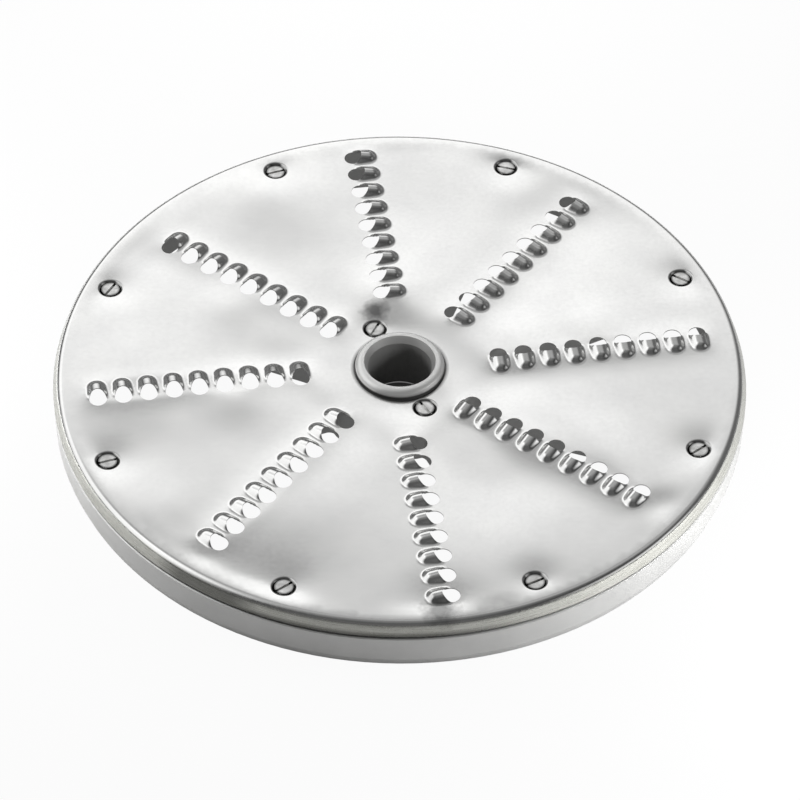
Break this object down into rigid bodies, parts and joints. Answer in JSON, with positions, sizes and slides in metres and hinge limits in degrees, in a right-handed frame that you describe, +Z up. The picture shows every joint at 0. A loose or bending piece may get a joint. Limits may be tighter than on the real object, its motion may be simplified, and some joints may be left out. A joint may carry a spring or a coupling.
{
  "type": "food processor grating disc",
  "caption": "Flat round grating disc: a pressed steel plate with staggered rows of raised open teeth, screwed to a ribbed cast body with a bored hub.",
  "frame": {"origin": "centre of the rim's standing face, on the axis of the bore", "axes": "+Z up along the bore, out of the toothed face; one row of teeth lies 9 degrees from +X towards +Y, and the drive slot under the hub lies along X"},
  "size_m": [0.205, 0.205, 0.0193],
  "materials": {
    "plate_steel": "polished stainless sheet with fine wear",
    "cast_aluminium": "satin cast light metal, turned on the rim and hub",
    "screw_steel": "turned stainless steel"
  },
  "bodies": {
    "root": {"grating_plate": "plate_steel", "cast_body": "cast_aluminium", "plate_screws": "screw_steel"}
  },
  "joints": []
}
